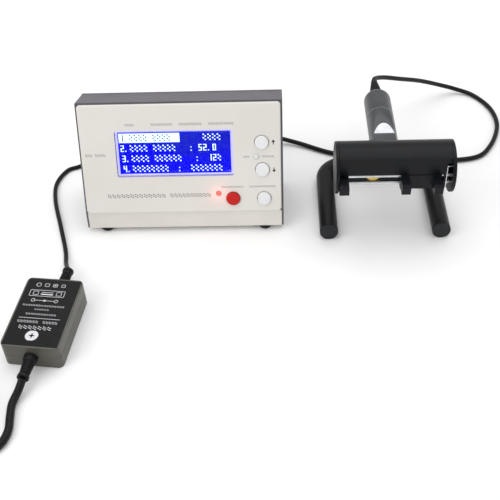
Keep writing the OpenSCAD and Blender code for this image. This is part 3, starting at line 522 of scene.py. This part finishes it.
# --- Jacks and plugs ----------------------------------------------------------------------
# A moulded power jack and a nickel-plated microphone jack with its hexagon nut, and their
# plugs: soft black mouldings with ribbed grips that taper to the leads.
def turned(name, material, profile, sides=40, start=(0, 0, 0), along=(0, 1, 0)):
    """A round piece from its (distance, radius) steps in mm, each ring drawn out of the last."""
    bpy.ops.object.select_all(action="DESELECT")
    bpy.ops.mesh.primitive_circle_add(vertices=sides, radius=profile[0][1] * MM, fill_type="NGON",
                                      location=(0, 0, profile[0][0] * MM))
    piece = bpy.context.object
    piece.name = name
    bpy.ops.object.transform_apply(location=True, rotation=False, scale=False)
    bpy.ops.object.mode_set(mode="EDIT")
    bpy.ops.mesh.select_all(action="SELECT")
    for (z0, r0), (z1, r1) in zip(profile, profile[1:]):
        bpy.ops.mesh.extrude_region_move(TRANSFORM_OT_translate={"value": (0, 0, (z1 - z0) * MM)})
        bpy.ops.transform.resize(value=(r1 / r0, r1 / r0, 1), center_override=(0, 0, z1 * MM))
    bpy.ops.mesh.select_all(action="SELECT")
    bpy.ops.mesh.normals_make_consistent(inside=False)
    bpy.ops.object.mode_set(mode="OBJECT")
    turn = Vector((0, 0, 1)).rotation_difference(Vector(along)).to_matrix().to_4x4()
    piece.matrix_world = Matrix.Translation(Vector(start)) @ turn
    bpy.ops.object.transform_apply(location=True, rotation=True, scale=True)
    piece.data.materials.append(material)
    smooth(piece, 40)
    return piece


def ribbed(first, last, radius, end_radius, count, depth):
    """Profile steps of a grip with that many rounded ribs, tapering from one radius to another."""
    steps = []
    pitch = (last - first) / count
    for i in range(count):
        at, r = first + i * pitch, radius + (end_radius - radius) * i / max(count - 1, 1)
        steps += [(at, r - depth), (at + 0.06 * pitch, r - 0.2 * depth), (at + 0.2 * pitch, r),
                  (at + 0.45 * pitch, r), (at + 0.58 * pitch, r - 0.2 * depth),
                  (at + 0.64 * pitch, r - depth)]
    return steps


soft_black = finish("black_pvc_moulding", "#19191B", "#121214", 0.42, grain=0.9, mottle=10, bump=0.2,
                    Specular_IOR_Level=0.2)
nickel = finish("nickel_plated_brass", "#C9C7C2", "#B2B0AB", 0.22, grain=0.5, mottle=6, Metallic=1.0)
worked("dc_jack", "power_jack", chip_plastic, "black_plastic", 0.25, 2)
worked("mic_jack", "microphone_jack", nickel, "zinc_steel", 0.25, 2)
worked("mic_jack_nut", "jack_nut", nickel, "zinc_steel", 0.3, 2)

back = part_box("rear_plate")[1].y
plug_back = Vector((centre("dc_plug").x, back, centre("dc_plug").z))
dc_plug = turned("power_plug", soft_black, [(-9, 2.5), (-8.8, 2.75), (0, 2.75), (0.01, 4.1), (0.4, 4.5)]
                 + ribbed(1.2, 11.2, 4.5, 4.5, 5, 0.5) + [(11.8, 4.3), (12, 3.2)]
                 + ribbed(12.4, 21, 3.1, 2.45, 4, 0.45) + [(21.4, 2.3), (22, 2.0)], start=plug_back)
stands_for(dc_plug, "black_plastic", "dc_plug")
jack_end = Vector((centre("mic_plug").x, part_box("mic_jack")[1].y, centre("mic_plug").z))
mic_plug = turned("microphone_plug", soft_black, [(-9, 1.3), (-8.4, 1.75), (0, 1.75), (0.01, 5.0), (0.5, 5.5)]
                  + ribbed(1.5, 18.8, 5.5, 5.3, 8, 0.45) + [(19.4, 5.0), (20, 3.6)]
                  + ribbed(20.6, 29, 3.6, 2.8, 4, 0.5) + [(29.4, 2.6), (30, 2.3)], start=jack_end)
stands_for(mic_plug, "black_plastic", "mic_plug")


# --- Adapter ------------------------------------------------------------------------------
# Two moulded ABS halves meet in a seam half way up. A glossy black label covers the top, with
# white printed marks. Inside are a paper-phenolic board and a taped transformer.
adapter_turn = math.radians(-6.5)
adapter_low, adapter_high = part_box("adapter_top")
adapter_middle = Vector(((adapter_low.x + adapter_high.x) / 2, (adapter_low.y + adapter_high.y) / 2, 0))
on_adapter = Matrix.Translation(adapter_middle) @ Matrix.Rotation(adapter_turn, 4, "Z")
off_adapter = on_adapter.inverted()
olive = finish("olive_grey_abs", "#55544B", "#4B4A42", 0.38, grain=1.2, mottle=20, bump=0.25)
# The label film is smooth, with the faintest ripple of its glue
label_film = finish("black_label_film", "#0C0D10", "#08090B", 0.16, grain=4, mottle=20, bump=0.05,
                    Specular_IOR_Level=0.3)
for node, name in (("adapter_bottom", "adapter_lower_half"), ("adapter_top", "adapter_upper_half")):
    half = solid_shell(node, name, olive)
    edge_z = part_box(node)[1 if node == "adapter_top" else 0].z
    round_edges(half, 1.6, 4, where=lambda at: abs(at.z - edge_z) < 0.1 * MM)
    round_edges(half, 0.25, 2, where=lambda at: abs(at.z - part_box("adapter_top")[0].z) < 0.1 * MM and (
        abs((off_adapter @ at).x) > 20 * MM or abs((off_adapter @ at).y) > 32 * MM))
    smooth(half)
    stands_for(half, "gloss_black" if node == "adapter_top" else "olive_plastic", node)

bpy.ops.object.select_all(action="DESELECT")
bpy.ops.mesh.primitive_cube_add(size=1)
label = bpy.context.object
label.name = "adapter_label"
label.scale = (39.6 * MM, 63.6 * MM, 0.12 * MM)
bpy.ops.object.transform_apply(location=False, rotation=False, scale=True)
round_edges(label, 3.0, 5, where=lambda at: abs(at.z) < 0.03 * MM)
label.matrix_world = Matrix.Translation((0, 0, adapter_high.z - 0.02 * MM)) @ on_adapter
bpy.ops.object.transform_apply(location=True, rotation=True, scale=False)
label.data.materials.append(label_film)
smooth(label)
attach(label, "unit")

white_ink = finish("white_label_ink", "#E2E2E4", "#D2D2D6", 0.4, grain=0.6, mottle=4)


def ring_of(x, y, radius, thick, count=20):
    """Small squares set round a circle, which join into a ring."""
    return [(x + radius * math.cos(math.tau * k / count) - thick / 2,
             y + radius * math.sin(math.tau * k / count) - thick / 2, thick, thick) for k in range(count)]


def box_of(x, y, w, h, thick=0.35):
    return [(x, y, w, thick), (x, y + h - thick, w, thick), (x, y, thick, h), (x + w - thick, y, thick, h)]


marks = legend(-12.8, 11.4, -16.8, 3.2, 7) + legend(-15.5, 0, -11.0, 2.3, 7)
marks += legend(3, 13.9, -11.0, 2.3, 5) + [(-15.5, -6.6, 30, 0.35)] + legend(-11.7, 10.8, -3.4, 1.6, 12)
marks += legend(-6.6, 4.1, 1.2, 1.4, 6) + legend(-16.6, 14.6, 4.8, 1.6, 16)
marks += ring_of(-10.5, 10.6, 1.3, 0.45) + ring_of(6.5, 10.6, 1.3, 0.45)
marks += [(-9, 10.4, 14, 0.35), (-2.8, 9.8, 1.6, 1.6)] + box_of(-15.2, 14.6, 26, 6.2)
marks += box_of(-12.6, 15.8, 4, 3.8) + box_of(4.6, 15.8, 4, 3.8)
marks += [(-6.6, 18.4, 9, 0.4), (-6.6, 16.2, 9, 1.0)] + ring_of(-10.8, 26, 1.7, 0.45)
marks += box_of(-6.2, 24.4, 3.4, 3.2) + box_of(-0.2, 24.4, 3.4, 3.2) + [(0.8, 25.6, 1.4, 0.8)]
marks += box_of(6.2, 24.6, 3, 2.8)
marks += [(-1 - w / 2, -22.4 + 0.4 * i, w, 0.4) for i in range(-11, 11)
          for w in [2 * math.sqrt(max(4.6 ** 2 - (0.4 * i + 0.2) ** 2, 0))]]
label_marks = film("label_marks", Matrix.Translation((0, 0, adapter_high.z)) @ on_adapter, marks, white_ink,
                   0.06)
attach(label_marks, "unit")
dot_core = film("label_dot_core", Matrix.Translation((0, 0, adapter_high.z)) @ on_adapter,
                [(-1 - 1.9, -22.9, 3.8, 1.0), (-1 - 0.5, -24.3, 1.0, 3.8)], label_film, 0.08)
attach(dot_core, "unit")

dress("adapter_board", finish("paper_phenolic_board", "#B58C4A", "#9C763A", 0.5, grain=0.8, mottle=5,
                              bump=0.3))
dress("adapter_transformer", finish("yellow_polyester_tape", "#DCC548", "#CBB239", 0.3, grain=1.4, mottle=9,
                                    bump=0.3))

# Strain reliefs: soft vinyl sleeves moulded with ribs, held in both halves by a groove
for node, end in (("dc_relief", 1), ("mains_relief", -1)):
    foot = on_adapter @ Vector(((2 if end == 1 else 0) * MM, end * 33 * MM, 0))
    foot.z = centre(node).z
    along = (on_adapter.to_3x3() @ Vector((0, end, 0))).normalized()
    relief = turned(node.replace("relief", "strain_relief"), soft_black,
                    [(-3.5, 4.6), (-3.3, 5.0), (-2.1, 5.0), (-2.0, 3.5), (-0.02, 3.5), (0, 4.6), (0.4, 5.0),
                     (4.4, 5.0), (5, 4.5)] + ribbed(5.6, 15.6, 4.2, 3.7, 5, 0.6)
                    + [(16.4, 3.6), (16.6, 4.1), (17.4, 4.2), (18.6, 4.2), (19, 3.7)],
                    start=foot, along=along)
    stands_for(relief, "black_plastic", node)


# --- Leads --------------------------------------------------------------------------------
# Soft black vinyl over stranded copper: a thin lead from the adapter to the console, a
# screened lead from the microphone, and a thicker mains lead, which is coiled and tied.
def smooth_path(route, steps):
    """Points on the smooth curve through a route, with so many to each stretch."""
    stops = [Vector(p) for p in route]
    stops = [stops[0], *stops, stops[-1]]
    line = []
    for a, b, c, d in zip(stops, stops[1:], stops[2:], stops[3:]):
        for i in range(steps):
            t = i / steps
            line.append(0.5 * (2 * b + (c - a) * t + (2 * a - 5 * b + 4 * c - d) * t ** 2
                               + (3 * b - a - 3 * c + d) * t ** 3))
    return line + [stops[-2]]


def sweep(name, line, outline):
    """A tube with that outline, a list of (sideways, upwards), along a line of points."""
    rings = []
    for i, point in enumerate(line):
        ahead = (line[min(i + 1, len(line) - 1)] - line[max(i - 1, 0)]).normalized()
        side = ahead.cross(Vector((0, 0, 1))).normalized()
        rings.append([point + side * u + side.cross(ahead) * w for u, w in outline])
    n = len(outline)
    faces = [(i * n + k, i * n + (k + 1) % n, (i + 1) * n + (k + 1) % n, (i + 1) * n + k)
             for i in range(len(line) - 1) for k in range(n)]
    faces += [tuple(range(n))[::-1], tuple(range((len(line) - 1) * n, len(line) * n))]
    mesh = bpy.data.meshes.new(name)
    mesh.from_pydata([p for ring in rings for p in ring], [], faces)
    mesh.materials.append(vinyl)
    tube = bpy.data.objects.new(name, mesh)
    bpy.context.scene.collection.objects.link(tube)
    only(tube)
    bpy.ops.object.mode_set(mode="EDIT")
    bpy.ops.mesh.select_all(action="SELECT")
    bpy.ops.mesh.normals_make_consistent(inside=False)
    bpy.ops.object.mode_set(mode="OBJECT")
    bpy.ops.object.shade_smooth_by_angle(angle=math.radians(60))
    return tube


def circle(diameter, sides):
    return [(diameter / 2 * math.cos(math.tau * k / sides), diameter / 2 * math.sin(math.tau * k / sides))
            for k in range(sides)]


vinyl = finish("black_vinyl_sheath", "#131315", "#0E0E10", 0.38, grain=1.0, mottle=15, bump=0.08,
               Specular_IOR_Level=0.2)

dc_d = 3.5 * MM
dc_start = Vector((centre("dc_plug").x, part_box("dc_plug")[1].y, centre("dc_plug").z))
dc_end = Vector((-131.24, -37.19, 10)) * MM
dc_line = smooth_path(
    [dc_start] + [Vector(p) * MM for p in (
        (-109.3, 106.5, 18), (-116.3, 112.5, 10), (-129.3, 111, 3), (-146.3, 102, 1.8),
        (-156.3, 96, 1.8), (-162.3, 78, 1.8), (-159.3, 55, 1.8), (-149.3, 23, 1.8), (-140.3, -6, 1.8),
        (-136.3, -24, 4.5))]
    + [dc_end], 8)
dc_lead = sweep("power_lead", dc_line, circle(dc_d, 12))
stands_for(dc_lead, "black_cord", "dc_lead")

mic_d = 4 * MM
mic_start = Vector((centre("tail_relief").x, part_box("tail_relief")[1].y, centre("tail_relief").z))
mic_end = Vector((centre("mic_plug").x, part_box("mic_plug")[1].y, centre("mic_plug").z))
mic_line = smooth_path(
    [mic_start] + [Vector(p) * MM for p in (
        (113.7, 147, 57), (122.7, 158, 51), (138.7, 171, 41), (160.7, 189, 27), (182.7, 203, 13),
        (198.7, 208, 5), (214.7, 201, 2.1), (226.7, 178, 2.1), (227.7, 150, 2.1), (215.7, 120, 2.1),
        (198.7, 104, 2.1), (160.7, 101, 2.1), (120.7, 104, 2.1), (92.7, 109, 2.1), (70.7, 117, 2.1),
        (48.7, 128, 3), (30.7, 132.5, 6), (16.7, 128.5, 13), (11.7, 121, 19))]
    + [mic_end], 8)
mic_lead = sweep("microphone_lead", mic_line, circle(mic_d, 16))
stands_for(mic_lead, "black_cord", "mic_lead")

# The mains lead goes round its coil in two layers of three turns, out, in and out again
mains_d = 5.6 * MM
coil_centre = Vector((centre("mains_coil").x, centre("mains_coil").y, 0))
mains_start = Vector((-145, -140.30, 10)) * MM
lead_in = [mains_start] + [Vector(p) * MM for p in (
    (-147.3, -147, 6), (-150.3, -156, 3), (-149.3, -167, 2.9), (-148.3, -178, 2.9), (-152.3, -189, 2.9),
    (-165.3, -197, 2.9), (-179.3, -202, 2.9), (-192.3, -202, 3.1))]
coil_stages = (
    # degrees, then the radius and height at the end of each stretch, in mm
    (300, 38.6, 3.3), (60, 33.0, 3.3), (300, 33.0, 3.3), (60, 27.4, 3.3), (240, 27.4, 3.3),
    (60, 27.4, 8.9), (240, 27.4, 8.9), (60, 33.0, 8.9), (300, 33.0, 8.9), (60, 38.6, 8.9), (222, 38.6, 8.9))
turned_by, radius, height, coil_line = 0.0, 38.6, 3.3, []
for degrees, next_radius, next_height in coil_stages:
    steps = degrees // 12
    for i in range(1, steps + 1):
        share = 0.5 - 0.5 * math.cos(math.pi * i / steps)
        angle = math.radians(-65.3 - turned_by - degrees * i / steps)
        r = (radius + (next_radius - radius) * share) * MM
        z = (height + (next_height - height) * share) * MM
        coil_line.append(coil_centre + Vector((r * math.cos(angle), r * math.sin(angle), z)))
    turned_by, radius, height = turned_by + degrees, next_radius, next_height
mains_end = Vector((centre("mains_plug").x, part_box("mains_plug")[0].y, centre("mains_plug").z))
tail_out = [Vector(p) * MM for p in ((-251.3, -152, 7.5), (-253.3, -141, 4.5), (-250.3, -127, 4.5))]
mains_line = smooth_path(lead_in + coil_line[1:] + tail_out + [mains_end], 3)
mains_lead = sweep("mains_lead_whole", mains_line, circle(mains_d, 14))
stands_for(mains_lead, "black_cord", "mains_lead", "mains_coil", "mains_tail")

# Its plug is one black moulding over two round brass pins, and a nylon tie holds the coil
mains_plug = worked("mains_plug", "mains_plug_moulding", soft_black, "black_plastic", 1.2, 3)
pins = worked("plug_pins", "mains_plug_pins", brass, "brass", 0.8, 3)
nylon = finish("black_nylon_tie", "#222224", "#18181A", 0.4, grain=0.7, mottle=6, bump=0.3,
               Specular_IOR_Level=0.2)
tie = worked("cable_tie", "coil_tie", nylon, "black_plastic", 0.15, 1)


# --- Stand --------------------------------------------------------------------------------
# A bent steel tube, powder-coated black, lies on the bench with a rubber plug in each end. A
# post with hollowed ends joins it to the barrel, with a screw up and a screw down.
tube_paint = finish("black_powder_coat", "#111113", "#0B0B0D", 0.36, grain=1.2, mottle=20, bump=0.15,
                    Specular_IOR_Level=0.2)
plug_rubber = finish("grey_black_rubber", "#2E3032", "#242628", 0.7, grain=0.9, mottle=7, bump=0.4,
                     Specular_IOR_Level=0.2)
worked("stand_tube", "bent_stand_tube", tube_paint, "black_tube", 0.3, 2)
worked("tube_plugs", "tube_end_plugs", plug_rubber, "black_rubber", 0.6, 3)
worked("stand_post", "hollowed_post", tube_paint, "black_tube", 0.3, 2)
worked("post_screws", "post_screws_pan_head", zinc, "zinc_steel", 0.4, 2)


# --- Microphone barrel --------------------------------------------------------------------
# Turned aluminium in two parts that meet in a groove, painted satin grey. The front part's top is milled
# flat for the holder, and the mill ran out in a slope. The slope's up-facing faces and the groove carry a
# painted highlight.
barrel_grey = finish("satin_grey_paint", "#4C4D50", "#434447", 0.34, grain=0.9, mottle=12, bump=0.12,
                     stretch=(1, 6, 1),
                     Metallic=0.35)
painted_highlight_metal = finish("painted_highlight_aluminium", "#D4D7DA", "#C2C5C9", 0.36, grain=0.5, mottle=5, stretch=(6, 1, 1),
              Metallic=0.6)


def repaint(piece, material, where):
    """Gives a second material to the faces whose middle and normal pass a test."""
    piece.data.materials.append(material)
    for face in piece.data.polygons:
        if where(face.center, face.normal):
            face.material_index = len(piece.data.materials) - 1


axis_z = centre("barrel_rear").z
barrel_x = centre("barrel_rear").x
front_low, front_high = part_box("barrel_front")
barrel_front = solid_shell("barrel_front", "barrel_front_part", barrel_grey)
round_edges(barrel_front, 0.2, 2, where=lambda at: at.y > front_high.y - 0.1 * MM or at.y < front_low.y
            + 0.1 * MM)
# The slope's faces that turn up and forward, and its end at the groove, take the bright metal as a painted
# highlight
repaint(barrel_front, painted_highlight_metal, lambda at, normal: (0.2 < normal.z < 0.985 and normal.y < -0.15 and at.z > axis_z)
        or (at.y > front_high.y - 0.4 * MM))
smooth(barrel_front)
stands_for(barrel_front, "grey_aluminium", "barrel_front")
barrel_rear = solid_shell("barrel_rear", "barrel_rear_part", barrel_grey)
rear_edge = front_high.y + 1 * MM
# The rear part's face at the groove takes the bright metal as a painted highlight
repaint(barrel_rear, painted_highlight_metal, lambda at, normal: at.y < rear_edge + 0.1 * MM)
smooth(barrel_rear)
stands_for(barrel_rear, "grey_aluminium", "barrel_rear")
dress("preamp_board", green_board)
tail = turned("tail_strain_relief", soft_black,
              [(-6, 3.9), (-0.01, 3.9), (0, 5.4)] + ribbed(0.3, 21.5, 6.1, 3.3, 7, 0.7)
              + [(22.3, 2.9), (24.6, 2.6), (25, 2.4)],
              start=(barrel_x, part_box("barrel_rear")[1].y, axis_z))
stands_for(tail, "black_rubber", "tail_relief")


# --- Watch holder -------------------------------------------------------------------------
# A machined black holder that swivels on a steel spindle in the barrel: a rounded body with a
# channel, a disc at each end, a fixed jaw, and a sliding jaw on two polished rods.
holder_black = finish("black_anodised_aluminium", "#0D0F13", "#08090C", 0.36, grain=1.0, mottle=18, bump=0.10,
                      Specular_IOR_Level=0.2)
jaw_black = finish("black_acetal_jaw", "#17181E", "#101116", 0.42, grain=0.9, mottle=10, bump=0.15,
                   Specular_IOR_Level=0.2)
polished = finish("polished_steel", "#DADBDD", "#C6C8CB", 0.14, grain=0.6, mottle=6, stretch=(8, 1, 1),
                  Metallic=1.0)
spring_steel = finish("bright_spring_steel", "#E6E7E8", "#D0D2D4", 0.18, grain=0.8, mottle=4, bump=0.3,
                      Metallic=1.0)
worked("holder_body", "holder_body_block", holder_black, "holder_black", 0.5, 3)
worked("left_disc", "holder_left_disc", holder_black, "holder_black", 0.6, 3)
worked("right_disc", "holder_right_disc", holder_black, "holder_black", 0.6, 3)
worked("fixed_jaw", "fixed_jaw_prong", jaw_black, "holder_black", 0.3, 2)
worked("sliding_jaw", "sliding_jaw_block", jaw_black, "holder_black", 0.4, 2)
worked("guide_rods", "polished_guide_rods", polished, "zinc_steel", 0.3, 2)
worked("contact_spring", "contact_spring_strip", spring_steel, "bright_spring", 0.2, 2)
worked("sensor_disc", "sensor_disc_brass", brass, "brass", 0.2, 2)
worked("swivel_spindle", "steel_spindle", polished, "zinc_steel", 0.4, 2)
